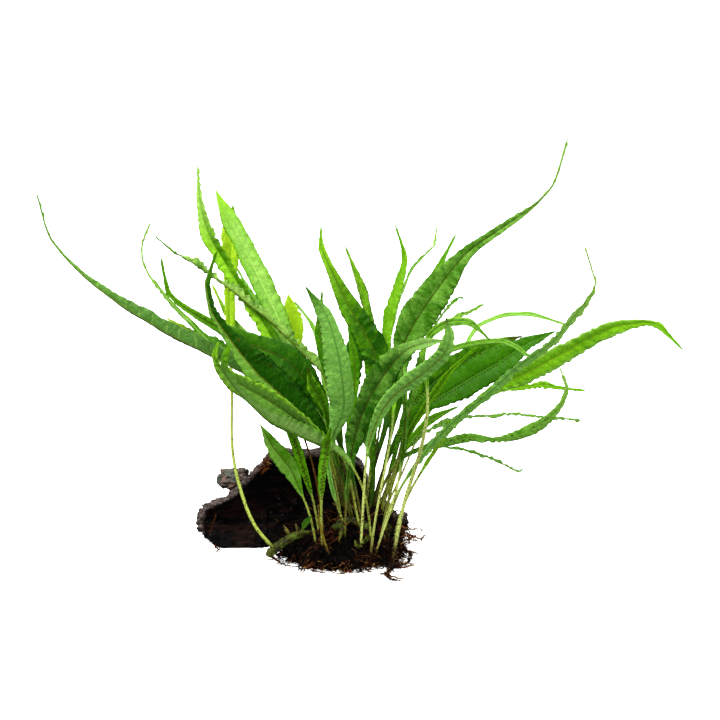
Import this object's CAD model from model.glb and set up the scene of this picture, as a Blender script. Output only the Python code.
"""A java fern on driftwood: the wood, the roots, the creeping stems and the fronds."""
import itertools
import math

import bmesh
import bpy
import numpy as np
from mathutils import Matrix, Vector, bvhtree, noise


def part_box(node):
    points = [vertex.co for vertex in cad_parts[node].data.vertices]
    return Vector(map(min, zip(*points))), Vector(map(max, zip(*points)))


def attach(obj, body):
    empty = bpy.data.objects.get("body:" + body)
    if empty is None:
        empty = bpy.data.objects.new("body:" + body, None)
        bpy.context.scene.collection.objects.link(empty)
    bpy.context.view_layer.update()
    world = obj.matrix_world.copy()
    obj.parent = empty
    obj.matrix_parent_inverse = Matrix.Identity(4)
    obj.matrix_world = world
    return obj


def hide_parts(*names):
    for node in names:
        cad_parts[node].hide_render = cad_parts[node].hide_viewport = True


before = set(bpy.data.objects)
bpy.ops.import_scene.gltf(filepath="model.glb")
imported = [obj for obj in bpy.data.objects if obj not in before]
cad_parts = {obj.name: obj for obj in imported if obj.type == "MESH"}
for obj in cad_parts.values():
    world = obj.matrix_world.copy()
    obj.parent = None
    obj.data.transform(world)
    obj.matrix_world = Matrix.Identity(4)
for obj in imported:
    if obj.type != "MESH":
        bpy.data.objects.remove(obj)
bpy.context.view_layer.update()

# ----------------------------------------------------------------------
# Driftwood log. A piece of sunken branch, hollowed along its front, nearly black where it is wet
# and in its own shade. Its rim is weathered to grey-brown fibres, and its left end is broken.
# ----------------------------------------------------------------------
MM = 0.001


def shade(red, green, blue):
    """A colour as a paint card gives it (0 to 255), made linear for a shader."""
    return tuple((value / 255.0) ** 2.2 for value in (red, green, blue)) + (1.0,)


class Wire:
    """A shader socket. Arithmetic on it adds Math nodes to its finish."""

    def __init__(self, finish, socket):
        self.finish, self.socket = finish, socket

    def __add__(self, other):
        return self.finish.sum("ADD", self, other)

    def __sub__(self, other):
        return self.finish.sum("SUBTRACT", self, other)

    def __rsub__(self, other):
        return self.finish.sum("SUBTRACT", other, self)

    def __mul__(self, other):
        return self.finish.sum("MULTIPLY", self, other)

    def __truediv__(self, other):
        return self.finish.sum("DIVIDE", self, other)

    def __abs__(self):
        return self.finish.sum("ABSOLUTE", self)

    __radd__ = __add__
    __rmul__ = __mul__


class Finish:
    """A material, worked out step by step: every step adds a node and hands back its output."""

    def __init__(self, name):
        self.material = bpy.data.materials.new(name)
        self.material.use_nodes = True
        self.tree = self.material.node_tree
        self.tree.nodes.clear()

    def add(self, kind, settings=None, inputs=None, out=0):
        """Any node: its type, its settings, then the values or links of its sockets."""
        node = self.tree.nodes.new(kind)
        for key, value in (settings or {}).items():
            setattr(node, key, value)
        for key, value in (inputs or {}).items():
            if isinstance(value, Wire):
                self.tree.links.new(value.socket, node.inputs[key])
            else:
                node.inputs[key].default_value = value
        return Wire(self, node.outputs[out]) if len(node.outputs) else None

    def sum(self, operation, *values):
        """One Math node on numbers and wires."""
        return self.add("ShaderNodeMath", {"operation": operation}, dict(enumerate(values)))

    def step(self, value, low, high):
        """0 below low, 1 above high and smooth between; falls where low is above high."""
        return self.add("ShaderNodeMapRange", {"interpolation_type": "SMOOTHSTEP"},
                        {"Value": value, "From Min": low, "From Max": high})

    def mix(self, share, first, second):
        """The first colour where share is 0 and the second where it is 1."""
        return self.add("ShaderNodeMix", {"data_type": "RGBA"}, {0: share, 6: first, 7: second}, out=2)

    def place(self, x=1.0, y=1.0, z=1.0):
        """Object coordinates in millimetres, stretched or squeezed along an axis."""
        coords = self.add("ShaderNodeTexCoord", out="Object")
        return self.add("ShaderNodeVectorMath", {"operation": "MULTIPLY"},
                        {0: coords, 1: (x / MM, y / MM, z / MM)})

    def clouds(self, where, size, detail=3.0, rough=0.55):
        """Noise from 0 to 1 with patches of a size in millimetres."""
        return self.add("ShaderNodeTexNoise", None, {
            "Vector": where, "Scale": 1.0 / size, "Detail": detail, "Roughness": rough})

    def cells(self, where, size, feature="F1", out="Distance"):
        """Distance from the middle of irregular cells of a size in millimetres."""
        return self.add("ShaderNodeTexVoronoi", {"feature": feature}, {
            "Vector": where, "Scale": 1.0 / size}, out=out)

    def luck(self, where, size, channel="Red"):
        """A random number from 0 to 1 for each of those cells."""
        colour = self.cells(where, size, out="Color")
        return self.add("ShaderNodeSeparateColor", None, {0: colour}, out=channel)

    def dice(self, value):
        """A random number from 0 to 1 for each value."""
        return self.add("ShaderNodeTexWhiteNoise", {"noise_dimensions": "1D"}, {"W": value}, out="Value")

    def coordinate(self, axis):
        """One object coordinate in millimetres."""
        return self.add("ShaderNodeSeparateXYZ", None, {0: self.place()}, out=axis)

    def parts(self, attribute):
        """The three numbers of a vector attribute painted on the mesh."""
        vector = self.add("ShaderNodeAttribute", {"attribute_name": attribute}, out="Vector")
        return [self.add("ShaderNodeSeparateXYZ", None, {0: vector}, out=axis) for axis in "XYZ"]

    def surface(self, colour, rough, height=None, depth=0.3, shine=0.5, glow=None, glow_share=0.0):
        """The final coat; height is a relief of some depth in mm; glow is light let through."""
        inputs = {"Base Color": colour, "Roughness": rough, "Specular IOR Level": shine}
        if height is not None:
            inputs["Normal"] = self.add("ShaderNodeBump", None, {
                "Strength": 1.0, "Distance": depth * MM, "Height": height}, out="Normal")
        coat = self.add("ShaderNodeBsdfPrincipled", None, inputs)
        if glow is not None:
            through = self.add("ShaderNodeBsdfTranslucent", None, {"Color": glow})
            coat = self.add("ShaderNodeMixShader", None, {0: glow_share, 1: coat, 2: through})
        self.add("ShaderNodeOutputMaterial", None, {"Surface": coat})
        return self.material


def solid_of(node):
    """A CAD node as a bmesh, its loose triangles joined up."""
    bm = bmesh.new()
    bm.from_mesh(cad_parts[node].data)
    bmesh.ops.remove_doubles(bm, verts=bm.verts[:], dist=1e-6)
    return bm


def shown(name, data):
    """A new object of that mesh, lamp or camera, in the scene."""
    thing = bpy.data.objects.new(name, data)
    bpy.context.scene.collection.objects.link(thing)
    return thing


def finished(name, source, material, replaced=()):
    """Turn a bmesh or mesh into a smooth-shaded piece that rides on the fern."""
    if isinstance(source, bmesh.types.BMesh):
        mesh = bpy.data.meshes.new(name)
        source.to_mesh(mesh)
        source.free()
    else:
        mesh = source
    mesh.name = name
    mesh.shade_smooth()
    mesh.materials.clear()
    mesh.materials.append(material)
    piece = shown(name, mesh)
    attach(piece, "root")
    if replaced:
        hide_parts(*replaced)
    return piece


def remeshed(bm, size):
    """The same solid with an even skin of small faces, `size` millimetres across."""
    mesh = bpy.data.meshes.new("skin")
    bm.to_mesh(mesh)
    bm.free()
    thing = shown("skin", mesh)
    skin = thing.modifiers.new("skin", "REMESH")
    skin.mode = "VOXEL"
    skin.voxel_size = size * MM
    even = bpy.data.meshes.new_from_object(thing.evaluated_get(bpy.context.evaluated_depsgraph_get()))
    bpy.data.objects.remove(thing)
    return even


def carved(mesh, relief):
    """Move every point of a mesh out along its normal by relief(place, normal), all in mm."""
    count = len(mesh.vertices)
    places, normals = np.empty(count * 3, np.float32), np.empty(count * 3, np.float32)
    mesh.vertices.foreach_get("co", places)
    mesh.vertex_normals.foreach_get("vector", normals)
    places, normals = places.reshape(-1, 3) / MM, normals.reshape(-1, 3)
    for index in range(count):
        place, normal = Vector(places[index]), Vector(normals[index])
        moved = place + normal * relief(place, normal)
        moved.z = max(moved.z, min(0.0, place.z))
        places[index] = moved
    mesh.vertices.foreach_set("co", (places * MM).ravel())
    mesh.update()
    return mesh


def ridges(place, x, y, z):
    """Sharp crests of noise, 0 to 1, stretched by a share along each axis."""
    return 1.0 - abs(noise.noise(Vector((place.x * x, place.y * y, place.z * z)))) * 2.0


log_low, log_high = (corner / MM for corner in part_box("driftwood_log"))
log_skin = remeshed(solid_of("driftwood_log"), 0.7)
COLUMNS = 120
skyline = np.zeros(COLUMNS)
for vert in log_skin.vertices:
    column = int((vert.co.x / MM - log_low.x) / (log_high.x - log_low.x) * (COLUMNS - 1))
    skyline[column] = max(skyline[column], vert.co.z / MM)


def under_rim(place):
    """How far a place on the log is below its top edge, in mm."""
    column = (place.x - log_low.x) / (log_high.x - log_low.x) * (COLUMNS - 1)
    return float(np.interp(column, range(COLUMNS), skyline)) - place.z


def rim_band(place):
    """1 on the lip along the top edge and the broken left end, 0 in the hollow."""
    lip = max(0.0, 1.0 - under_rim(place) / (4.5 + 2.0 * noise.noise(place * 0.2)))
    end = max(0.0, 1.0 - (place.x - log_low.x) / (6.0 + 3.0 * noise.noise(place * 0.3)))
    return min(1.0, 1.6 * max(lip, end))


def log_relief(place, normal):
    """Long grain, fine fibres, crumbs and pits, a raised lip and a sunken hollow."""
    front = max(0.0, -normal.y)
    band = rim_band(place)
    grain = ridges(place, 0.035, 0.26, 0.26) ** 3 * 1.0 + ridges(place, 0.07, 0.8, 0.8) ** 2 * 0.5
    fibres = ridges(place, 0.16, 1.9, 1.9) * 0.25
    broken = max(0.0, 1.0 - (place.x - log_low.x) / 12.0)
    crumbs = noise.noise(place * 0.33) * (1.3 + 3.2 * broken) + noise.noise(place * 1.1) * (1.0 + broken)
    pits = max(0.0, noise.noise(place * 0.3 + Vector((9.0, 0.0, 0.0))) - 0.2) * -3.5
    hollow = front * (1.3 * band - 1.6 * (1.0 - band))
    by_knob = 2.4 * math.exp(-((place.x + 46.0) / 6.0) ** 2) * max(0.0, normal.z)
    flat = max(min(1.0, max(0.0, (place.z - 0.3) / 2.0)), 1.0 - 2.0 * abs(normal.z))
    rough = (grain + fibres - 0.8) * (1.0 - 0.5 * band) + crumbs * (0.15 + 0.85 * band)
    return flat * (rough + pits + hollow + by_knob)


wood = Finish("driftwood_bark")
grain = wood.clouds(wood.place(0.12, 1.0, 1.0), 1.6, 6.0, 0.62)
streaks = wood.clouds(wood.place(0.05, 1.0, 1.0), 3.6, 4.0)
patches = wood.clouds(wood.place(), 9.0, 3.0)
crust = wood.clouds(wood.place(0.5, 1.0, 1.0), 1.2, 6.0, 0.7)
weather, rust = wood.parts("weather")[:2]
dark = wood.mix(wood.step(streaks, 0.44, 0.7), shade(6, 5, 5), shade(34, 20, 15))
dark = wood.mix(wood.step(grain, 0.56, 0.82), dark, shade(64, 48, 38))
wet = wood.cells(wood.place(0.6, 1.0, 1.0), 1.3)
drop = wood.luck(wood.place(0.6, 1.0, 1.0), 1.3)
across, behind = wood.coordinate("X"), wood.coordinate("Y")
damp = wood.step(across, -40.0, -22.0) * wood.step(across, 0.0, -12.0) * wood.step(behind, 38.0, 28.0)
dark = wood.mix(wood.step(wet, 0.32, 0.1) * wood.step(drop + damp * 0.2, 0.94, 1.1) * 0.8, dark,
                shade(110, 104, 104))
pale = wood.mix(wood.step(crust + grain * 0.3, 0.5, 0.85), shade(14, 10, 10), shade(112, 98, 92))
worn = wood.step(weather + grain * 0.5 + patches * 0.9 + crust * 0.3, 1.05, 1.6)
bark = wood.mix(worn, dark, pale)
bark = wood.mix(wood.step(rust * 0.8 + grain * 0.5, 0.65, 1.05), bark, shade(84, 42, 26))
wood_finish = wood.surface(bark, 0.45 + grain * 0.4, grain + patches * 0.6 + crust * 0.5, 0.9, 0.06)


def weathered(mesh, painted):
    """Paint where the wood is worn pale or rusty: painted(place, normal) gives both, 0 to 1."""
    layer = mesh.attributes.new("weather", "FLOAT_VECTOR", "POINT")
    normals = [corner.vector.copy() for corner in mesh.vertex_normals]
    for vert, value, normal in zip(mesh.vertices, layer.data, normals):
        value.vector = (*painted(vert.co / MM, normal), 0.0)
    return mesh


def log_weather(place, normal):
    """Pale on the lip, the top and the back; rusty in one patch and down a crack at the left."""
    worn = 0.75 * rim_band(place) + 0.3 * max(0.0, normal.z) + 0.35 * max(0.0, normal.y)
    worn += 0.25 * noise.noise(place * 0.12) - 0.1
    rust = max(0.0, 1.0 - (place - Vector((-38.0, 14.0, 41.0))).length / 7.0)
    crack = max(0.0, 1.0 - abs(place.x + 64.0 - 0.25 * (place.z - 12.0)) / 0.8)
    crack *= max(0.0, 1.0 - abs(place.z - 15.0) / 9.0)
    return worn, max(rust, crack)


log = weathered(carved(log_skin, log_relief), log_weather)
finished("wood_log", log, wood_finish, ["driftwood_log"])

# ----------------------------------------------------------------------
# Driftwood knob and spur. The knob is a harder lobe behind the rim, grey-green with pinkish
# patches where the bark is gone. The spur is the charred-looking stub at the right end.
# ----------------------------------------------------------------------
stone = Finish("knob_bark")
lumps = stone.clouds(stone.place(1.0, 1.0, 1.6), 2.6, 5.0, 0.6)
tint = stone.clouds(stone.place(), 6.0, 2.0)
knob_colour = stone.mix(stone.step(tint, 0.4, 0.62), shade(84, 90, 80), shade(112, 90, 82))
knob_colour = stone.mix(stone.step(lumps, 0.55, 0.34), knob_colour, shade(34, 29, 27))
knob_colour = stone.mix(stone.step(lumps, 0.62, 0.8), knob_colour, shade(142, 134, 124))
away = stone.coordinate("X")
knob_colour = stone.mix(stone.step(away + lumps * 4.0, -49.0, -45.0), knob_colour, shade(30, 23, 20))
knob_finish = stone.surface(knob_colour, 0.75, lumps, 0.8, 0.08)


def knob_relief(place, normal):
    """Knobbly folds, worn round at the knob's left end."""
    corner = max(0.0, ((place.y - 42.0) / 9.5) ** 2 + ((place.z - 29.0) / 5.0) ** 2 - 0.7)
    corner = min(1.5, corner) * min(1.0, max(0.0, (-54.0 - place.x) / 4.0))
    return (ridges(place, 0.22, 0.3, 0.55) ** 2 * 1.1 + noise.noise(place * 0.35) * 1.2
            + noise.noise(place * 1.1) * 0.45 - 0.6 - 2.2 * corner)


def spur_relief(place, normal):
    """The lumps of a broken stub."""
    return noise.noise(place * 0.5) * 1.1 + noise.noise(place * 1.4) * 0.6 - 0.2


knob = carved(remeshed(solid_of("driftwood_knob"), 0.4), knob_relief)
finished("wood_knob", knob, knob_finish, ["driftwood_knob"])
spur = carved(remeshed(solid_of("driftwood_spur"), 0.35), spur_relief)
spur = weathered(spur, lambda place, normal: (0.35 + 0.3 * normal.z, 0.0))
finished("wood_spur", spur, wood_finish, ["driftwood_spur"])

# ----------------------------------------------------------------------
# Root mat. The fern holds on with a felt of fine brown roots: a dark, crumbly mound with
# thousands of fibres that sweep over it to the front and to the right, and hang off its rim.
# ----------------------------------------------------------------------
peat = Finish("root_felt")
crumbs = peat.clouds(peat.place(), 1.0, 6.0, 0.65)
felt = peat.mix(peat.step(crumbs, 0.45, 0.85), shade(4, 3, 3), shade(30, 18, 12))
peat_finish = peat.surface(felt, 0.85, crumbs, 0.5, 0.03)
CROWN = Vector((13.0, 6.0, 0.0))


def mat_relief(place, normal):
    """Lumps of felt, heaped under the crown and eaten away in front and at the right end."""
    flat = max(min(1.0, max(0.0, (place.z - 0.2) / 1.5)), 1.0 - 2.0 * abs(normal.z))
    undercut = min(1.0, max(0.0, (place.x - 17.0) / 7.0)) * min(1.0, max(0.0, (6.0 - place.y) / 8.0))
    heap = 7.0 * math.exp(-((place.x - CROWN.x) / 15.0) ** 2 - ((place.y - CROWN.y) / 12.0) ** 2)
    rough = noise.noise(place * 0.12) * 3.6 + noise.noise(place * 0.35) * 2.4 + noise.noise(place) * 1.3
    rough -= 5.0 * undercut * max(0.0, normal.x - 0.6 * normal.y)
    rough -= 3.5 * math.exp(-((place.x - 12.0) / 8.0) ** 2 - ((place.y + 14.0) / 6.0) ** 2)
    return flat * (rough + heap * max(0.0, normal.z)) - 0.6 * (1.0 - flat)


mound = carved(remeshed(solid_of("root_mat"), 0.75), mat_relief)
finished("root_mound", mound, peat_finish, ["root_mat"])

root = Finish("root_fibre")
tone, along = root.parts("fibre")[:2]
root_colour = root.mix(root.step(tone, 0.1, 0.65), shade(4, 3, 3), shade(26, 14, 9))
root_colour = root.mix(root.step(tone, 0.55, 0.85), root_colour, shade(74, 38, 20))
root_colour = root.mix(root.step(tone, 0.85, 1.0), root_colour, shade(120, 80, 38))
root_colour = root.mix(root.step(along, 0.55, 1.0) * root.step(tone, 0.6, 0.95) * 0.7, root_colour,
                       shade(168, 132, 70))
root_finish = root.surface(root_colour, 0.6, None, shine=0.05)


def strands(name, paths):
    """Many fine roots as one piece; a path has its points in mm, its thickness in mm and a tone."""
    line = bpy.data.curves.new(name, "CURVE")
    line.dimensions = "3D"
    line.bevel_depth = 0.5 * MM
    line.bevel_resolution = 0
    for points, thick, tone in paths:
        spline = line.splines.new("POLY")
        spline.points.add(len(points) - 1)
        taper = np.linspace(1.0, 0.5, len(points))
        for point, place, share in zip(spline.points, points, taper):
            point.co = (place[0] * MM, place[1] * MM, max(place[2], 0.5 * thick) * MM, 1.0)
            point.radius = thick * share
    holder = bpy.data.objects.new(name, line)
    mesh = bpy.data.meshes.new_from_object(holder)
    bpy.data.objects.remove(holder)
    layer = mesh.attributes.new("fibre", "FLOAT_VECTOR", "POINT")
    values = [(tone, share, 0.0) for points, thick, tone in paths
              for share in np.linspace(0.0, 1.0, len(points)) for side in range(4)]
    layer.data.foreach_set("vector", np.array(values, np.float32).ravel())
    bm = bmesh.new()
    bm.from_mesh(mesh)
    bmesh.ops.holes_fill(bm, edges=[edge for edge in bm.edges if edge.is_boundary], sides=4)
    bpy.data.meshes.remove(mesh)
    return finished(name, bm, root_finish)


def surface_tree(*pieces):
    """One tree of the given meshes, to ask for the nearest surface in metres."""
    bm = bmesh.new()
    for piece in pieces:
        bm.from_mesh(piece)
    tree = bvhtree.BVHTree.FromBMesh(bm)
    bm.free()
    return tree


ground = surface_tree(mound)
wood_skin = surface_tree(log)
rng = np.random.default_rng(11)


def creeping(start, way, length, step=1.5, hug=0.8, wander=0.5, sink=0.12, tree=None):
    """A root that creeps over the mound from a place in mm, heading one way, down to the floor."""
    tree = tree or ground
    place, way = Vector(start), Vector(way).normalized()
    lift = rng.uniform(0.05, hug)
    points = []
    for turn in range(max(3, int(length / step))):
        near, normal, face, far = tree.find_nearest(place * MM)
        near = near / MM
        if far / MM < 3.0 or (place - near).dot(normal) < 0:
            place = place.lerp(near + normal * lift, 0.75)
        place.z = max(place.z, 0.2)
        points.append(place.copy())
        way = (way + Vector(rng.normal(0.0, wander * 0.35, 3)) + Vector((0, 0, -sink))).normalized()
        if place.z < 0.6:
            way.z = max(way.z, rng.uniform(-0.1, 0.12))
        place = place + way * step
    return points


def on_mound(x, y, z=20.0):
    """The place on the mound nearest to one in mm."""
    return ground.find_nearest(Vector((x, y, z)) * MM)[0] / MM


MAT_WIDE, MAT_DEEP = 31.0, 25.0
MAT_FIBRES, LONG_FIBRES = 2300, 150
mat_paths = []
for count in range(MAT_FIBRES):
    bearing = rng.uniform(0.0, 2.0 * math.pi)
    reach = math.sqrt(rng.uniform(0.01, 1.0))
    x, y = MAT_WIDE * reach * math.cos(bearing), MAT_DEEP * reach * math.sin(bearing)
    start = on_mound(x, y, rng.uniform(4.0, 20.0))
    sweep = Vector((0.9 if start.x > -2.0 else -0.8, -0.6, -0.2)) + Vector(rng.normal(0.0, 0.5, 3))
    sweep += Vector((start.x, start.y, 0.0)) * 0.025
    bright = 0.9 if abs(start.x - 6.0) > 8.0 else 0.6
    mat_paths.append((creeping(start, sweep, rng.uniform(5.0, 17.0), hug=rng.choice([0.6, 1.2, 3.0])),
                      rng.uniform(0.3, 0.75), rng.beta(1.0, 2.4) * bright))
for count in range(LONG_FIBRES):
    left = count % 2 == 0
    start = on_mound(rng.uniform(-12.0, 2.0) if left else rng.uniform(12.0, 24.0), rng.uniform(-20.0, -4.0))
    sweep = Vector((-1.0, -0.35, -0.3) if left else (1.0, -0.7, -0.4)) + Vector(rng.normal(0.0, 0.25, 3))
    mat_paths.append((creeping(start, sweep, rng.uniform(10.0, 22.0), 1.5, 3.5, 0.3, 0.2),
                      rng.uniform(0.45, 0.8), rng.uniform(0.5, 0.84) if left else rng.uniform(0.3, 0.8)))
strands("root_fibres", mat_paths)

# ----------------------------------------------------------------------
# Loose roots. At the foot of the mat and at its right end single roots straggle out over the
# floor, brown near the mat and pale tan at their tips. Two thicker ones carry bits of peat.
# ----------------------------------------------------------------------
LOOSE_STEP = 0.8


def loose(start, way, length, wander=0.9, sink=0.15):
    """A root that strays from the mat through the air and over the floor: course, thickness, tone."""
    place, way = Vector(start) - Vector(way).normalized() * 1.5, Vector(way).normalized()
    bend = Vector(rng.normal(0.0, 0.14, 3))
    points = []
    for turn in range(max(4, int((length + 1.5) / LOOSE_STEP))):
        points.append(place.copy())
        bend = bend * 0.85 + Vector(rng.normal(0.0, 0.1 * wander, 3))
        way = (way + bend + Vector((0.0, 0.0, -sink))).normalized()
        place = place + way * LOOSE_STEP
        if place.z < 0.25:
            place.z = 0.25
            way.z = abs(way.z) * rng.uniform(0.0, 0.5)
    return points, rng.uniform(0.3, 0.85), rng.beta(2.2, 1.7)


# The photograph's camera looks down at this place (mm), from this far, at half a mm a pixel.
AIM = (11.0, 21.0, 95.9)
TILT = math.radians(12.0)
DISTANCE = 1100.0
PIXEL = 0.5
MIDDLE = 360.0


def placed(across, down, depth):
    """The place seen at a point of the photograph (of 720 x 720) and at a depth y in mm."""
    rise = (MIDDLE - down) * PIXEL
    away = (depth - AIM[1] - rise * math.sin(TILT)) / (math.cos(TILT) + rise * math.sin(TILT) / DISTANCE)
    grow = 1.0 + away / DISTANCE
    high = AIM[2] + rise * grow * math.cos(TILT) - away * math.sin(TILT)
    return Vector((AIM[0] + (across - MIDDLE) * PIXEL * grow, depth, max(0.3, high)))


# Single roots: thickness in mm, tone, depth at both ends, and the points they pass in the photo.
SINGLE = [
    (0.5, 0.95, 4, 2, [(397, 528), (404, 527), (412, 529), (420, 528), (424, 531)]),
    (0.7, 0.8, 5, 0, [(396, 527), (403, 531), (410, 535), (417, 538), (421, 539), (424, 535), (427, 536)]),
    (0.5, 0.9, 2, -4, [(397, 541), (404, 541), (410, 538), (416, 537), (421, 540)]),
    (0.9, 0.5, 3, -4, [(394, 532), (399, 536), (402, 541), (400, 546)]),
    (0.8, 0.75, 0, -8, [(394, 543), (402, 547), (407, 550), (411, 552), (418, 553)]),
    (0.7, 0.7, -4, -9, [(405, 549), (409, 553), (411, 558), (409, 562)]),
    (0.6, 0.7, -6, -8, [(396, 545), (397, 551), (395, 557), (400, 559)]),
    (0.6, 0.8, -6, -11, [(390, 547), (391, 553), (389, 559), (393, 561)]),
    (0.9, 0.45, -12, -20, [(370, 553), (377, 559), (384, 564), (391, 567), (397, 568)]),
    (0.7, 0.85, -20, -21, [(392, 567), (399, 568), (406, 567), (414, 565)]),
    (0.6, 0.75, -21, -20, [(397, 568), (399, 564), (403, 562)]),
    (0.7, 0.85, -27, -39, [(390, 571), (386, 574), (387, 577), (391, 580), (397, 582), (404, 583)]),
    (0.5, 0.85, -26, -30, [(391, 570), (385, 573), (379, 574)]),
    (0.7, 0.7, -14, -18, [(272, 556), (276, 560), (282, 564), (291, 568)]),
    (0.7, 0.2, -10, -14, [(268, 551), (276, 554), (280, 558), (285, 557)]),
    (0.6, 0.75, 18, 6, [(214, 544), (216, 550), (219, 555), (217, 558)]),
    (0.35, 0.75, 17, 17, [(210, 534), (212, 526), (215, 518), (216, 514)]),
    (0.6, 0.85, -22, -26, [(316, 562), (309, 566), (303, 568)]),
    (0.5, 0.85, -24, -29, [(308, 569), (316, 571), (326, 573)]),
    (0.5, 0.9, -26, -31, [(352, 570), (344, 573), (335, 574)]),
    (0.6, 0.6, -23, -29, [(358, 566), (361, 570), (363, 574)]),
    (0.6, 0.75, -22, -27, [(363, 566), (367, 570), (371, 573)]),
    (0.5, 0.7, -22, -27, [(367, 562), (374, 567), (380, 569)]),
    (0.5, 0.9, 15, 13, [(262, 474), (265, 468), (264, 461), (268, 456), (270, 450)]),
    (0.5, 0.9, 15, 13, [(264, 472), (269, 467), (268, 460), (273, 455)]),
    (0.4, 0.85, 15, 13, [(259, 472), (262, 465), (267, 462), (271, 464)]),
    (0.8, 0.3, -12, -25, [(376, 556), (382, 560), (388, 563), (394, 566), (398, 567)]),
    (0.6, 0.45, -10, -24, [(380, 552), (386, 558), (391, 562), (397, 566), (401, 565)]),
    (0.6, 0.5, -26, -26, [(397, 566), (391, 568), (386, 567), (381, 569)]),
    (0.5, 0.95, 0, -4, [(398, 537), (405, 536), (413, 538), (407, 541), (400, 545)]),
    (0.6, 0.8, -4, -9, [(386, 543), (390, 548), (393, 552), (397, 557)]),
    (0.6, 0.75, 0, -6, [(389, 531), (392, 538), (391, 545), (388, 552)]),
    (0.5, 0.8, 4, 6, [(378, 520), (384, 513), (387, 508)]),
    (0.5, 0.9, 2, -2, [(400, 532), (406, 535), (412, 540), (418, 541)]),
]
RIGHT_FIBRES, RIM_FIBRES, STRAY_FIBRES, CROWN_FIBRES, WOOD_FIBRES = 380, 380, 150, 420, 150
rim_paths = []
for thick, tone, near, far, spots in SINGLE:
    depths = np.linspace(near, far, len(spots))
    course = np.array([placed(*spot, depth) for spot, depth in zip(spots, depths)])
    steps = np.linspace(0.0, len(spots) - 1.0, len(spots) * 4)
    course = np.array([np.interp(steps, range(len(spots)), column) for column in course.T]).T
    course[1:-1] += rng.normal(0.0, 0.22, (len(course) - 2, 3))
    course[:, 2] = np.maximum(course[:, 2], 0.3)
    rim_paths.append((course, thick * 1.8, tone))
    for count in range(int(3 + 5 * thick)):
        at = rng.integers(1, len(course) - 1)
        way = Vector(course[at + 1] - course[at - 1]).normalized() + Vector(rng.normal(0.0, 0.6, 3))
        points, fine, other = loose(course[at], way, rng.uniform(1.5, 5.0), 1.4, 0.12)
        rim_paths.append((points, min(0.6, fine), 0.85 * tone))
for count in range(RIGHT_FIBRES):
    bearing = math.radians(rng.uniform(-80.0, 20.0))
    x, y = math.cos(bearing) * (MAT_WIDE - 5.0), math.sin(bearing) * (MAT_DEEP - 3.0)
    start = on_mound(x, y, rng.uniform(2.0, 16.0))
    out = Vector((1.0, rng.uniform(-0.9, 0.1), rng.uniform(-0.7, 0.1)))
    points, thick, tone = loose(start, out, rng.uniform(6.0, 15.0), 1.0, 0.1)
    rim_paths.append((points, thick, tone * 0.8))
for count in range(RIM_FIBRES):
    bearing = math.radians(rng.uniform(-185.0, 30.0))
    x, y = math.cos(bearing) * (MAT_WIDE + 2.0), math.sin(bearing) * (MAT_DEEP + 2.0)
    start = on_mound(x, y, rng.uniform(0.3, 6.0))
    out = Vector((math.cos(bearing), math.sin(bearing), rng.uniform(-0.8, 0.3)))
    out += Vector(rng.normal(0, 0.5, 3))
    rim_paths.append(loose(start, out, rng.gamma(2.0, 2.0), 1.2, 0.12))
for count in range(STRAY_FIBRES):
    start = on_mound(rng.uniform(26.0, 32.0), rng.uniform(-20.0, 8.0), rng.uniform(0.5, 12.0))
    out = Vector((1.0, rng.uniform(-0.9, 0.3), rng.uniform(-0.5, 0.6)))
    rim_paths.append(loose(start, out, rng.gamma(2.5, 2.0), 1.5, 0.1))
for count in range(CROWN_FIBRES):
    start = on_mound(rng.normal(CROWN.x + 2.0, 11.0), rng.normal(CROWN.y, 8.0))
    out = Vector((rng.normal(0.1, 0.8), rng.normal(-0.2, 0.8), 1.0))
    rim_paths.append(loose(start, out, rng.uniform(3.0, 10.0), 1.4, 0.12))
for count in range(WOOD_FIBRES):
    start = Vector((rng.uniform(-30.0, 28.0), 10.0, rng.uniform(2.0, 22.0)))
    start = wood_skin.find_nearest(start * MM)[0] / MM
    way = Vector((rng.normal(-0.2, 0.8), 0.0, rng.normal(0.0, 0.6)))
    rim_paths.append((creeping(start, way, rng.uniform(4.0, 12.0), 1.2, 0.6, 0.8, 0.05, wood_skin),
                      rng.uniform(0.2, 0.4), rng.beta(1.2, 2.2)))


def peaty(place, normal):
    """The crumbs of peat that cling to a thick root."""
    return noise.noise(place * 0.7) * 0.7 + noise.noise(place * 2.0) * 0.4 - 0.45


CREEPING_FIBRES, LOOSE_FIBRES = 60, 26
TRAILS = {"root_trail_right": Vector((0.4, -1.0, -0.1)), "root_trail_front": Vector((-0.2, -1.0, -0.1))}
for node, way in TRAILS.items():
    strand = carved(remeshed(solid_of(node), 0.25), peaty)
    skin = surface_tree(strand)
    spots = [vert.co / MM for vert in strand.vertices]
    for count in range(CREEPING_FIBRES):
        start = spots[rng.integers(len(spots))]
        rim_paths.append((creeping(start, way + Vector(rng.normal(0, 0.5, 3)), rng.uniform(2.5, 8.0), 0.9,
                                   0.5, 0.9, 0.05, skin), rng.uniform(0.2, 0.5), rng.beta(2.0, 1.8)))
    for count in range(LOOSE_FIBRES):
        start = spots[rng.integers(len(spots))]
        out = Vector((rng.normal(0.3, 0.8), rng.normal(-0.2, 0.7), rng.uniform(-0.3, 0.4)))
        points, thick, tone = loose(start, out, rng.uniform(2.0, 6.0), 1.4, 0.12)
        rim_paths.append((points, min(0.45, thick), tone))
    finished(node + "_strand", strand, peat_finish, [node])
strands("root_stragglers", rim_paths)

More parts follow.
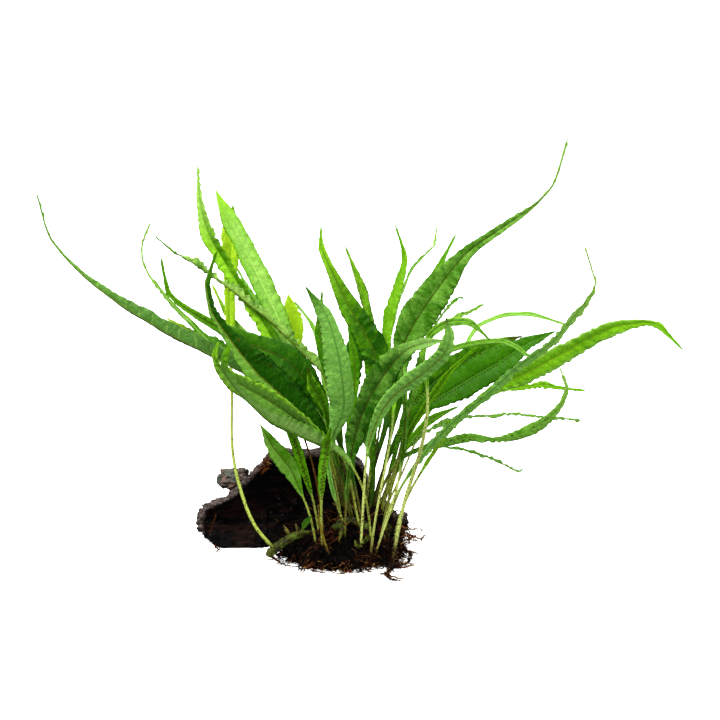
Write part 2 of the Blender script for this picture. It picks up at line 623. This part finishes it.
# ----------------------------------------------------------------------
# Creeping stems. The fern's rhizomes are olive-green, knobbly and freckled with brown scales,
# with short stubs where old fronds have been cut.
# ----------------------------------------------------------------------
stem = Finish("rhizome_skin")
mottle = stem.clouds(stem.place(), 1.8, 4.0)
stem_colour = stem.mix(stem.step(mottle, 0.35, 0.68), shade(24, 18, 6), shade(66, 74, 16))
rightward, nearer, upward = (stem.coordinate(axis) for axis in "XYZ")
stub = stem.step(nearer, -8.5, -11.5) * stem.step(rightward, -12.0, 0.0)
stem_colour = stem.mix(stub * 0.75, stem_colour, shade(92, 100, 30))
cut = stem.step(upward, 15.0, 17.0) * stem.step(rightward, -19.0, -21.0)
freckle = stem.cells(stem.place(), 0.95)
fresh = stem.clouds(stem.place(), 5.0, 2.0)
stem_colour = stem.mix(stem.step(fresh, 0.5, 0.66) * 0.6, stem_colour, shade(72, 98, 20))
stem_colour = stem.mix(stem.step(rightward, -30.0, -34.0) * 0.8, stem_colour, shade(70, 72, 22))
stem_colour = stem.mix(cut * 0.8, stem_colour, shade(112, 102, 46))
stem_colour = stem.mix(stem.step(freckle, 0.42, 0.24), stem_colour, shade(34, 18, 7))
stem_finish = stem.surface(stem_colour, 0.6, mottle - stem.step(freckle, 0.34, 0.22) * 0.3, 0.3, 0.12)


def stem_relief(place, normal):
    """The knobbly skin of a creeping stem."""
    return noise.noise(place * 0.55) * 0.35 + noise.noise(place * 1.6) * 0.2


for node in ("rhizome_left", "rhizome_front", "rhizome_right"):
    skin = carved(remeshed(solid_of(node), 0.28), stem_relief)
    finished(node + "_skin", skin, stem_finish, [node])

# ----------------------------------------------------------------------
# Fronds. Each one is a round stalk that runs on as the midrib of a long pointed blade. The
# blade is thin, puckered between its side veins and crimped along its margins.
# ----------------------------------------------------------------------
SIGHT = Vector((0.0, math.cos(TILT), -math.sin(TILT)))
# In mm: the rings' distance on a blade and on a stalk, half a blade's thickness, and how deep a
# stalk's foot is sunk. Then how many times a stalk is eased, so that it has no kinks.
BLADE_STEP, STALK_STEP = 0.75, 1.6
HALF_SHEET = 0.13
SUNK = 2.2
EASINGS = 60


def frond_rows(node):
    """Left margin, upper rib, right margin and lower rib of a frond at each ring, base to tip."""
    bm = solid_of(node)
    for start in bm.verts:
        if len(start.link_edges) != 4:
            continue
        rows, seen = [[start]], {start}
        while True:
            ring = {edge.other_vert(vert) for vert in rows[-1] for edge in vert.link_edges} - seen
            if not ring:
                break
            rows.append(sorted(ring, key=lambda vert: vert.index))
            seen |= ring
        if all(len(row) == 4 for row in rows[1:]):
            break
    tip = start.co.copy()
    first = rows[1]
    order = [first[0]]
    while len(order) < 4:
        order.append(next(edge.other_vert(order[-1]) for edge in order[-1].link_edges
                          if edge.other_vert(order[-1]) in first
                          and edge.other_vert(order[-1]) not in order))
    rings = [[vert.co.copy() for vert in order]]
    for row in rows[2:]:
        spots = [vert.co.copy() for vert in row]
        moved = sum(spots, Vector()) / 4.0 - sum(rings[-1], Vector()) / 4.0
        rings.append(list(min(itertools.permutations(spots), key=lambda turn: sum(
            (spot - moved - old).length for spot, old in zip(turn, rings[-1])))))
    bm.free()
    rings.reverse()
    gaps = [((ring[0] - ring[2]).length, (ring[1] - ring[3]).length) for ring in rings]
    widest = max(range(1, len(rings) - 1), key=lambda index: max(gaps[index]))
    if gaps[widest][0] < gaps[widest][1]:
        rings = [ring[1:] + ring[:1] for ring in rings]
    ring = rings[widest]
    along = sum(rings[widest + 1], Vector()) - sum(rings[widest - 1], Vector())
    across = along.cross(SIGHT)
    if (ring[0] - ring[2]).dot(across) < 0.0:
        rings = [[ring[2], ring[1], ring[0], ring[3]] for ring in rings]
    if (ring[1] - ring[3]).dot(along.cross(across)) < 0.0:
        rings = [[ring[0], ring[3], ring[2], ring[1]] for ring in rings]
    rows = [[value for corner in ring for value in corner] for ring in rings]
    return np.array(rows + [list(tip) * 4]) / MM


def drawn_out(rows):
    """Rows on a smooth curve, each one's share of blade, its run in mm, and where the blade starts."""
    padded = np.vstack([2 * rows[0] - rows[1], rows, 2 * rows[-1] - rows[-2]])
    share = np.linspace(0.0, 1.0, 12, endpoint=False)[:, None]
    fine = [0.5 * (2 * b + (c - a) * share + (2 * a - 5 * b + 4 * c - d) * share ** 2
                   + (3 * b - a - 3 * c + d) * share ** 3)
            for a, b, c, d in zip(padded, padded[1:], padded[2:], padded[3:])]
    fine = np.vstack(fine + [rows[-1:]])
    wide = np.linalg.norm(fine[:, 0:3] - fine[:, 6:9], axis=1)
    deep = np.linalg.norm(fine[:, 3:6] - fine[:, 9:12], axis=1)
    blade = np.clip((wide / np.maximum(deep, 0.05) - 1.06) / 0.5, 0.0, 1.0)
    stalky = np.flatnonzero(blade[:int(0.9 * len(blade))] < 0.5)
    start = int(stalky[-1]) + 1 if len(stalky) else 0
    blade[:start] = np.minimum.accumulate(blade[:start][::-1])[::-1]
    blade[start:] = np.maximum.accumulate(blade[start:])
    middle = (fine[:, 3:6] + fine[:, 9:12]) / 2.0
    steps = np.linalg.norm(np.diff(middle, axis=0), axis=1)
    run = np.concatenate([[0.0], np.cumsum(steps)])
    busy = np.concatenate([[0.0], np.cumsum(steps / np.where(blade[1:] > 0.02, BLADE_STEP, STALK_STEP))])
    wanted = np.linspace(0.0, busy[-1], max(12, int(busy[-1])))
    rows = np.array([np.interp(wanted, busy, column) for column in fine.T]).T
    bladed = np.interp(wanted, busy, blade)
    for turn in range(EASINGS):
        ease = 0.5 * (1.0 - bladed[1:-1, None])
        rows[1:-1] += ease * ((rows[:-2] + rows[2:]) / 2.0 - rows[1:-1])
    return rows, bladed, np.interp(wanted, busy, run), run[min(start, len(run) - 1)]


def ripple(value, seed, size):
    """Smooth noise of one number, about -1 to 1, with waves of a size in mm."""
    return noise.noise(Vector((value / size, seed * 7.31, seed * 1.7))) * 1.7


def ruffle(value, seed, size):
    """A frill's height along a margin, -1 to 1: even waves of a size in mm that wander and fade."""
    wander = 1.6 * noise.noise(Vector((value / size / 3.1, seed * 3.7, 1.0)))
    swell = 0.55 + 1.3 * noise.noise(Vector((value / size / 2.3, seed * 5.3, 2.0)))
    return math.sin(2.0 * math.pi * (value / size + wander)) * max(0.06, swell)


def unit(vectors):
    """The same directions with a length of 1."""
    return vectors / np.maximum(np.linalg.norm(vectors, axis=-1, keepdims=True), 1e-9)


def wrapped(skin, painted, graded, tip):
    """A sheet rolled up into rings of points in mm, painted, closed at its foot and at its tip."""
    last, around = skin.shape[0] - 1, skin.shape[1] - 1
    bm = bmesh.new()
    place = bm.verts.layers.float_vector.new("place")
    grade = bm.verts.layers.float_vector.new("grade")
    bmesh.ops.create_grid(bm, x_segments=around, y_segments=last, size=1.0)
    ends = []
    for vert in bm.verts:
        column = round((vert.co.x + 1.0) / 2.0 * around)
        row = round((vert.co.y + 1.0) / 2.0 * last)
        vert.co = skin[row, column] * MM
        vert[place] = painted[row, column]
        vert[grade] = graded[row, column]
        if row == last:
            ends.append(vert)
    bmesh.ops.pointmerge(bm, verts=ends, merge_co=Vector(tip * MM))
    bmesh.ops.remove_doubles(bm, verts=bm.verts[:], dist=2e-6)
    bmesh.ops.holes_fill(bm, edges=[edge for edge in bm.edges if edge.is_boundary], sides=0)
    bmesh.ops.recalc_face_normals(bm, faces=bm.faces[:])
    return bm


def frond(node, finish, crimp=0.6, teeth=0.075, veins=5.0, puff=0.65, slim=0.54, width=1.0, frill=5.0,
          calm=0, tail=0.0, wing=0.0, seed=0.0):
    """Rebuild a frond around its CAD solid's lines: one closed skin from cut base to tip."""
    rows, blade, run, blade_start = drawn_out(frond_rows(node))
    count = len(rows)
    left, upper, right, lower = (rows[:, at:at + 3] for at in (0, 3, 6, 9))
    middle = (upper + lower) / 2.0
    along = unit(np.gradient(middle, axis=0))
    out = unit(upper - lower)
    out[-1] = out[-2]
    side = unit(np.cross(out, along))
    side *= np.sign((side * (left - right)).sum(axis=1) + 1e-9)[:, None]
    stalk = np.linalg.norm(upper - lower, axis=1) / 2.0 * slim
    blunt = 0.75 * np.sqrt(np.clip((run[-1] - run) / 3.0, 0.0, 1.0))
    spans = [np.maximum(np.linalg.norm(edge - middle, axis=1) * width, blunt) for edge in (left, right)]
    length = max(1.0, run[-1] - blade_start)
    grown = np.clip((run - blade_start) / length, -1.0, 1.0)
    if wing:
        skirt = np.clip((grown + 0.2) / 0.35, 0.0, 1.0) * (grown < 0.4)
        spans = [np.maximum(span, wing * skirt ** 2) for span in spans]
        blade = np.maximum(blade, np.clip(skirt * 5.0, 0.0, 1.0))
    widest = max(spans[0].max(), spans[1].max())
    half = 8 if widest > 3.0 else 5
    share = np.linspace(0.0, 1.0, half + 1) ** 1.15
    thread = np.clip((grown - 1.0 + tail) / (0.6 * tail + 1e-6), 0.0, 1.0) * (tail > 0.0)
    if tail:
        beads = np.array([max(0.0, ripple(value, seed + 21.0, 2.8)) for value in run])
        ending = np.clip((run[-1] - run) / 4.0, 0.3, 1.0)
        spans = [span + thread * (np.clip(0.5 * span + 0.9 * beads, 0.55, 1.2) * ending - span)
                 for span in spans]
    rib = np.minimum(0.34, 0.12 + 0.04 * np.maximum(*spans)) * (1.0 - 0.75 * np.clip(grown, 0, 1))
    rib = stalk * (1.0 - blade) + np.minimum(stalk, rib) * blade
    rib = np.maximum(rib, 0.42 * thread)

    # The section goes round from the left margin over the upper side to the right, and back.
    stops = [(1, s) for s in share[::-1]] + [(-1, s) for s in share[1:]]
    stops = [(hand, s, 1) for hand, s in stops] + [(hand, s, -1) for hand, s in stops[-2:0:-1]]
    around = len(stops)
    skin = np.zeros((count, around + 1, 3))
    painted = np.zeros((count, around + 1, 3))
    graded = np.zeros((count, around + 1, 3))
    waves = {}
    for hand in (1, -1):
        edge = left if hand == 1 else right
        span = spans[0 if hand == 1 else 1]
        lively = 0.2 if hand == calm else 1.0
        reach = unit(edge - middle) * span[:, None]
        face = unit(np.cross(reach, along)) * hand
        face *= np.sign((face * out).sum(axis=1) + 1e-9)[:, None]
        bites = np.array([0.8 * ruffle(v, seed + hand, 3.7) + 0.9 * ripple(v, seed - hand, 6.5)
                          - 0.7 * max(0.0, ripple(v, seed + 3 * hand, 1.5) - 0.2) for v in run])
        bites = 1.0 + lively * teeth * bites
        crimps = np.array([ruffle(v, seed + 5 * hand, frill) + 0.4 * ruffle(v, seed + 8 * hand, frill * 0.43)
                           for v in run]) * lively
        rolls = np.array([ripple(v, seed + 11 * hand, 13.0) for v in run])
        jitter = np.array([ripple(v, seed + 13 * hand, 9.0) for v in run])
        waves[hand] = (reach, span, face, bites, crimps, rolls, jitter)
    for column, (hand, s, top) in enumerate(stops):
        reach, span, face, bites, crimps, rolls, jitter = waves[hand]
        wide = span * s
        flat = middle + reach * (s * (1.0 + (bites - 1.0) * s))[:, None]
        arch = 0.07 * span * 4.0 * s * (1.0 - s)
        wave = crimps * crimp * s ** 1.6 * np.minimum(1.15, 0.13 * span + 0.3)
        wave += 0.11 * span * s * rolls
        phase = (run - blade_start - 0.3 * wide - 0.05 * wide ** 2) / veins + 0.25 * hand + 0.22 * jitter
        swell = puff * ((np.abs(np.sin(phase * math.pi)) ** 0.8 - 0.6) * 0.46 * np.minimum(1.0, span / 4.0)
                        * min(1.0, 5.0 * s) * (1.0 - s ** 4))
        keel = rib * np.exp(-(wide / np.maximum(rib * 1.1, 0.02)) ** 2)
        sheet = HALF_SHEET * math.sqrt(max(0.0, 1.0 - s ** 6)) * np.minimum(1.0, span / 0.8)
        off = (arch + wave + swell)[:, None] * face
        off += (top * np.maximum(keel, sheet))[:, None] * (out * math.exp(-(s * 6) ** 2)
                                                        + face * (1 - math.exp(-(s * 6) ** 2)))
        turn = math.pi / 2.0 * (1.0 - s)
        ring = middle + (side * hand * math.cos(turn) + out * top * math.sin(turn)) * stalk[:, None]
        skin[:, column] = ring * (1.0 - blade)[:, None] + (flat + off) * blade[:, None]
        painted[:, column] = np.array([wide * hand, run - blade_start, np.full(count, s * hand)]).T
        graded[:, column] = np.array([grown, blade, phase + 50.0]).T
    for layer in (skin, painted, graded):
        layer[:, -1] = layer[:, 0]
    skin[0] -= along[0] * SUNK
    skin[0, :, 2] = np.maximum(skin[0, :, 2], 0.3)
    bm = wrapped(skin, painted, graded, middle[-1])
    return finished(node.replace("frond_", "leaf_"), bm, finish, [node])


TONES = {
    "deep": (32, 80, 0), "shade": (56, 108, 0), "leaf": (76, 132, 6), "bright": (100, 164, 8),
    "lime": (138, 198, 34), "yellow": (188, 220, 52), "pale": (124, 178, 66), "mint": (168, 212, 98),
    "grey": (98, 144, 66), "silver": (134, 178, 86), "moss": (70, 110, 34), "olive": (92, 96, 24),
    "brown": (72, 38, 12), "bronze": (136, 126, 36), "straw": (156, 174, 74), "dusk": (50, 46, 2),
    "edge": (108, 66, 14), "soft": (148, 214, 94), "cream": (184, 200, 106),
}


def leaf_finish(name, low, high, rib="olive", fringe=None, tip=None, spores=0.0, spots=0.0,
                halves=0.0, bias=0.0, quilt=0.18, stalk="straw", foot="olive", freckles=0.65,
                vein_light=0.16, tip_share=0.15, glow=0.3, edging=0.8, gloom=0.9,
                through="bright"):
    """Living leaf: two greens in patches, net veins, midrib, and what the frond shows besides."""
    leaf = Finish(name + "_green")
    tone = {key: shade(*value) for key, value in TONES.items()}
    across, run, share = leaf.parts("place")
    grown, blade, phase = leaf.parts("grade")
    where = leaf.place()
    patches = leaf.clouds(where, 6.0, 3.0, 0.55)
    fine = leaf.clouds(where, 1.1, 3.0)
    off = abs(across)
    flat = leaf.add("ShaderNodeCombineXYZ", None, {0: across, 1: run * 0.8, 2: 0.0})
    net = leaf.step(leaf.cells(flat, 2.7, "DISTANCE_TO_EDGE") + fine * 0.06, 0.02, 0.2)
    inside = leaf.sum("FRACT", phase)
    pillow = leaf.dice(leaf.sum("FLOOR", phase) + leaf.sum("SIGN", across) * 0.31)
    lateral = leaf.step(abs(inside - 0.5), 0.42, 0.5) * leaf.step(abs(share), 1.0, 0.6)
    lateral = lateral * leaf.step(patches, 0.35, 0.6)
    lit = patches * 1.5 + fine * 0.5 - 1.0 + leaf.step(share, -0.15, 0.15) * halves + bias
    lit = lit - min(0.0, halves) + grown * 0.2 + (pillow - 0.5) * quilt + (0.5 - inside) * quilt
    green = leaf.mix(leaf.step(lit, -0.35, 0.6), tone[low], tone[high])
    green = leaf.mix((1.0 - net) * 0.26, green, tone["shade"])
    green = leaf.mix(lateral * vein_light, green, tone["mint"])
    if fringe:
        edge = leaf.step(abs(share) + fine * 0.5 + patches * 0.3, 0.95, 1.35)
        green = leaf.mix(edge * 0.7, green, tone[fringe])
    if tip:
        green = leaf.mix(leaf.step(grown + fine * 0.1, 1.02 - tip_share, 1.04), green, tone[tip])
    leafy = leaf.step(blade, 0.4, 0.9)
    green = leaf.mix(leaf.step(off, 0.9, 0.25) * 0.3 * leafy, green, tone[low])
    green = leaf.mix(leaf.step(off, 0.3, 0.16) * leafy * leaf.step(grown, 0.98, 0.6) * 0.85, green, tone[rib])
    height = net * 0.6 + fine * 0.5 - lateral * 0.5
    if spores:
        row = run / 1.7 + leaf.sum("SIGN", across) * 0.2
        luck = leaf.dice(leaf.sum("FLOOR", row) + leaf.sum("SIGN", across) * 0.3)
        ahead = (leaf.sum("FRACT", row) - 0.5) * 1.7
        aside = off - 0.75
        dot = leaf.step(leaf.sum("SQRT", ahead * ahead + aside * aside) + fine * 0.3, 0.7, 0.5)
        dot = dot * leaf.step(grown, 0.85, 0.7) * leaf.step(luck, 1.0 - spores, 1.02 - spores)
        green = leaf.mix(dot, green, shade(40, 22, 5))
    if spots:
        some = leaf.step(leaf.luck(flat, 5.2), 1.0 - spots, 1.02 - spots)
        spot = leaf.step(leaf.cells(flat, 5.2), 0.105, 0.075) * some
        green = leaf.mix(spot, green, shade(100, 40, 10))
    old = leaf.mix(leaf.step(grown, -1.0, -0.3) * 0.8 + patches * 0.2, tone[foot], tone[stalk])
    old = leaf.mix(leaf.step(fine, 0.4, 0.7) * 0.2, old, tone["leaf"])
    old = leaf.mix(leaf.step(abs(share) + fine * 0.9, 0.95, 1.3) * edging, old, tone["edge"])
    high_up = leaf.coordinate("Z")
    crown = leaf.step(high_up + patches * 30.0, 110.0, 60.0)
    old = leaf.mix(crown * gloom, old, tone["dusk"])
    old = leaf.mix(leaf.step(high_up + fine * 6.0, 19.0, 9.0) * 0.8, old, tone["brown"])
    scale_where = leaf.place(1.3, 1.3, 0.7)
    pick = leaf.luck(scale_where, 1.0, "Green")
    specks = leaf.step(leaf.cells(scale_where, 1.0), 0.44, 0.27)
    specks = specks * leaf.step(pick + crown * 0.3, 1.0 - freckles, 1.05 - freckles)
    old = leaf.mix(specks, old, shade(68, 30, 10))
    green = leaf.mix(specks * leaf.step(off, 0.5, 0.3) * leaf.step(grown, 0.4, 0.2), green, shade(52, 26, 8))
    old = leaf.mix(leaf.step(grown, -0.12, 0.04) * 0.6, old, green)
    colour = leaf.mix(leaf.step(blade, 0.15, 0.8), old, green)
    return leaf.surface(colour, 0.4 + fine * 0.2, height, 0.2, 0.12,
                        glow=tone[through], glow_share=blade * glow)


# What some fronds share: stalks in the dark behind the crown, pale stalks in the light, narrow
# blades that are crinkled all along, and low fronds with spores on brown-scaled stalks.
HIDDEN = dict(stalk="moss", foot="dusk", freckles=0.8, gloom=0.75)
PALE_STALK = dict(stalk="cream", edging=0.5)
CRINKLED = dict(crimp=1.8, teeth=0.6)
SPORED = dict(freckles=0.8, foot="dusk", gloom=0.1)
FERN = {
    "left_long": dict(
        low="moss", high="grey", rib="straw", tip="pale", tip_share=0.4, bias=0.25, quilt=0.12,
        vein_light=0.6, spots=0.25, gloom=0.75, width=0.85, tail=0.28, calm=1, crimp=0.8, veins=8.0),
    "left_hook": dict(
        low="leaf", high="mint", rib="mint", tip="mint", tip_share=0.4, bias=-0.3, width=0.9, tail=0.4,
        crimp=0.9),
    "left_dark": dict(
        low="deep", high="leaf", rib="brown", tip="bright", tip_share=0.6, bias=-0.15, gloom=0.75, wing=2.5,
        crimp=0.7, puff=0.5),
    "left_spotted": dict(
        low="deep", high="pale", rib="bronze", tip="leaf", halves=1.1, bias=-0.72, quilt=0.1, spots=0.7,
        gloom=0.75, wing=2.5, crimp=0.7),
    "left_bright": dict(
        low="leaf", high="pale", fringe="lime", tip="lime", tip_share=0.25, bias=0.95, gloom=0.1,
        width=1.25, crimp=0.9),
    "left_pale": dict(
        low="moss", high="silver", rib="lime", fringe="leaf", tip="bright", tip_share=0.3, bias=0.4,
        gloom=0.1, width=1.1, calm=1, crimp=0.8),
    "left_wavy": dict(
        low="shade", high="mint", rib="bronze", gloom=0.75, width=1.1, tail=0.04, crimp=1.8, teeth=0.45,
        frill=4.5),
    "left_crinkled": dict(
        low="shade", high="pale", tip="yellow", bias=-0.2, stalk="brown", foot="brown", width=1.1,
        frill=4.5, **CRINKLED),
    "left_short": dict(low="bright", high="mint", rib="lime", tip="yellow", bias=-0.3, gloom=0.1),
    "up_curled": dict(
        low="leaf", high="lime", rib="lime", tip="mint", tip_share=0.3, halves=1.1, bias=-0.3, gloom=0.1,
        width=1.15, crimp=0.9, teeth=0.16),
    "up_broad": dict(
        low="pale", high="mint", rib="mint", fringe="bright", tip="lime", bias=-0.25, quilt=0.15, glow=0.15,
        through="leaf", gloom=0.75, crimp=0.5, teeth=0.06, frill=8.0),
    "up_yellow": dict(
        low="lime", high="yellow", rib="bright", tip="deep", tip_share=0.06, bias=0.1, glow=0.4,
        through="yellow", foot="straw", freckles=0.15, edging=0.2, gloom=0.1, width=1.25, slim=0.72,
        crimp=0.4),
    "up_dark": dict(low="leaf", high="pale", rib="leaf"),
    "mid_yellow": dict(
        low="yellow", high="yellow", rib="lime", bias=0.1, glow=0.45, through="yellow", width=1.8),
    "mid_needle": dict(low="bright", high="mint", rib="pale"),
    "mid_shadow": dict(low="shade", high="bright", bias=-0.2, gloom=0.75, wing=2.0, crimp=0.9),
    "mid_broad": dict(
        low="leaf", high="soft", rib="grey", tip="shade", tip_share=0.2, bias=0.9, quilt=0.06,
        vein_light=0.06, spots=0.35, gloom=0.1, wing=2.0, crimp=0.3, teeth=0.06),
    "mid_tall": dict(
        low="deep", high="bright", tip="lime", tip_share=0.4, halves=0.15, bias=-0.25, quilt=0.3,
        gloom=0.75, wing=4.0),
    "mid_spear": dict(low="leaf", high="lime", rib="lime", fringe="olive", gloom=0.1, wing=2.5, slim=0.75),
    "mid_light": dict(
        low="bright", high="lime", rib="lime", halves=-0.3, bias=-0.1, quilt=0.4, glow=0.4, freckles=0.25,
        gloom=0.05, crimp=0.8, **PALE_STALK),
    "mid_thread": dict(
        low="leaf", high="mint", rib="pale", tip="mint", width=0.65, slim=0.75, tail=0.2, crimp=1.2,
        teeth=0.5),
    "mid_glossy": dict(
        low="deep", high="pale", rib="brown", tip="silver", tip_share=0.3, bias=-0.1, gloom=0.75, wing=5.0,
        crimp=0.4, puff=0.5),
    "mid_small": dict(
        low="deep", high="leaf", fringe="lime", tip="brown", tip_share=0.08, bias=0.45, gloom=0.75,
        wing=2.0),
    "mid_narrow": dict(low="shade", high="bright", wing=3.0),
    "right_tall": dict(
        low="shade", high="pale", rib="brown", tip="mint", tip_share=0.35, halves=-0.15, bias=-0.08,
        quilt=0.3, vein_light=0.4, freckles=0.5, gloom=0.1, wing=2.0, slim=0.45, tail=0.3, crimp=1.0,
        teeth=0.05, veins=6.5, puff=1.0, **PALE_STALK),
    "right_behind": dict(low="leaf", high="bright", rib="lime", wing=3.5, slim=0.75, **PALE_STALK),
    "right_edge_on": dict(
        low="leaf", high="soft", rib="shade", tip="mint", tip_share=0.5, halves=0.3, bias=0.4, quilt=0.1,
        freckles=0.4, gloom=0.15, width=0.98, slim=0.6, tail=0.2, crimp=0.9, teeth=0.08, frill=7.0,
        **PALE_STALK),
    "right_bright": dict(
        low="bright", high="lime", rib="yellow", fringe="mint", tip="lime", bias=0.9, quilt=0.15, glow=0.45,
        freckles=0.4, gloom=0.1, slim=0.6, teeth=0.1, frill=6.0, puff=0.45, **PALE_STALK),
    "right_arch": dict(
        low="pale", high="mint", rib="mint", glow=0.4, through="lime", gloom=0.1, crimp=0.3, **PALE_STALK),
    "right_dotted": dict(
        low="shade", high="leaf", rib="leaf", tip="shade", bias=-0.3, quilt=0.05, vein_light=0.08,
        spores=0.95, gloom=0.1, wing=3.0, crimp=0.5, puff=0.3),
    "right_dark": dict(
        low="deep", high="bright", rib="leaf", tip="brown", tip_share=0.1, spores=0.85, gloom=0.45,
        wing=2.0, slim=0.42, crimp=0.5),
    "right_thin_arch": dict(low="leaf", high="pale", rib="lime", bias=0.3, gloom=0.4, crimp=0.7),
    "right_crinkled": dict(low="leaf", high="mint", rib="leaf", gloom=0.15, frill=4.5, **CRINKLED),
    "right_small_arch": dict(
        low="shade", high="pale", rib="lime", fringe="lime", stalk="cream", foot="cream", freckles=0.25,
        edging=0.1, gloom=0.1, slim=0.62),
    "right_wiry": dict(low="leaf", high="pale", rib="leaf", gloom=0.15, width=0.9, frill=4.5, **CRINKLED),
    "front_pale": dict(
        low="leaf", high="soft", rib="bronze", tip="brown", tip_share=0.03, bias=0.85, quilt=0.05,
        vein_light=0.06, freckles=0.35, gloom=0.1, slim=0.6, **PALE_STALK),
    "right_low": dict(
        low="leaf", high="pale", rib="pale", tip="mint", tip_share=0.3, halves=-0.4, bias=0.1, quilt=0.3,
        spores=0.25, gloom=0.35, slim=0.42, tail=0.12, crimp=1.2),
    "right_low_thread": dict(
        low="leaf", high="silver", rib="leaf", tip="silver", tip_share=0.4, bias=0.8, width=0.8, slim=0.42,
        tail=0.2, frill=4.0, **CRINKLED),
    "right_long_thread": dict(
        low="leaf", high="silver", rib="lime", bias=0.5, width=0.85, tail=0.12, frill=4.0, **CRINKLED),
    "right_wavy": dict(
        low="bright", high="lime", rib="lime", bias=0.5, glow=0.4, freckles=0.4, gloom=0.1, crimp=1.4,
        teeth=0.3, **PALE_STALK),
    "right_inner": dict(
        low="shade", high="bright", fringe="lime", bias=0.7, gloom=0.25, wing=1.5, slim=0.42),
    "right_short": dict(low="moss", high="bright", bias=0.4, gloom=0.25, wing=1.5, slim=0.42),
    "low_left": dict(
        low="leaf", high="pale", rib="brown", halves=0.4, bias=-0.15, edging=0.5, gloom=0.1, crimp=0.7),
    "low_banded": dict(low="moss", high="bright", rib="brown", bias=0.5, spores=0.6, width=0.72, **SPORED),
    "low_upright": dict(low="moss", high="bright", bias=0.3, spores=0.7, width=0.8, **SPORED),
    "young_shoot": dict(low="bright", high="lime", stalk="bright", freckles=0.45, gloom=0.1),
    "leaflet": dict(low="deep", high="moss", rib="leaf"),
    "back_tall": dict(low="deep", high="shade", wing=4.5, **HIDDEN),
    "back_left": dict(low="deep", high="leaf", **HIDDEN),
    "back_right": dict(
        low="shade", high="leaf", rib="brown", bias=0.2, spores=0.5, wing=3.5, slim=0.75, **HIDDEN),
    "back_up": dict(low="deep", high="leaf", wing=4.5, slim=0.75, **HIDDEN),
}
SHAPING = ("crimp", "teeth", "puff", "slim", "width", "frill", "veins", "calm", "tail", "wing")
for number, (name, look) in enumerate(FERN.items()):
    node = "frond_" + name
    shape = {key: look[key] for key in SHAPING if key in look}
    paint = {"gloom": float(rng.choice([0.1, 0.3, 0.6, 0.75]))}
    paint.update({key: value for key, value in look.items() if key not in SHAPING})
    frond(node, leaf_finish(node, **paint), seed=number * 1.37 + 0.5, **shape)

# ----------------------------------------------------------------------
# Studio: a pale floor, soft light from above and both sides, and the camera of the photograph,
# a little over a metre away and looking twelve degrees down.
# ----------------------------------------------------------------------
bm = bmesh.new()
bmesh.ops.create_grid(bm, x_segments=1, y_segments=1, size=14.0)
floor_mesh = bpy.data.meshes.new("floor")
bm.to_mesh(floor_mesh)
bm.free()
paper = Finish("floor_paper")
white = paper.add("ShaderNodeBsdfPrincipled", None, {
    "Base Color": shade(250, 250, 250), "Roughness": 0.9, "Specular IOR Level": 0.1,
    "Emission Color": shade(255, 255, 255), "Emission Strength": 0.75})
paper.add("ShaderNodeOutputMaterial", None, {"Surface": white})
floor_mesh.materials.append(paper.material)
floor = shown("floor", floor_mesh)
floor.visible_diffuse = False
floor.visible_glossy = False

sky = bpy.data.worlds.new("studio")
sky.use_nodes = True
sky.node_tree.nodes["Background"].inputs["Color"].default_value = (1.0, 1.0, 1.0, 1.0)
sky.node_tree.nodes["Background"].inputs["Strength"].default_value = 0.32
bpy.context.scene.world = sky

LAMPS = {
    "key": ((-0.7, -0.8, 1.4), 0.7, 50.0),
    "fill": ((1.1, -0.9, 0.5), 0.9, 18.0),
    "back": ((0.4, 1.1, 1.2), 0.8, 36.0),
}
for name, (spot, size, power) in LAMPS.items():
    lamp = bpy.data.lights.new(name, "AREA")
    lamp.size = size
    lamp.energy = power
    holder = shown(name, lamp)
    holder.location = spot
    holder.rotation_euler = (Vector(AIM) * MM - Vector(spot)).to_track_quat("-Z", "Y").to_euler()

lens = bpy.data.cameras.new("camera")
lens.lens = 110.0
lens.sensor_width = 36.0
camera = shown("camera", lens)
camera.location = Vector(AIM) * MM - SIGHT * DISTANCE * MM
camera.rotation_euler = SIGHT.to_track_quat("-Z", "Y").to_euler()
bpy.context.scene.camera = camera
bpy.context.scene.view_settings.view_transform = "Standard"
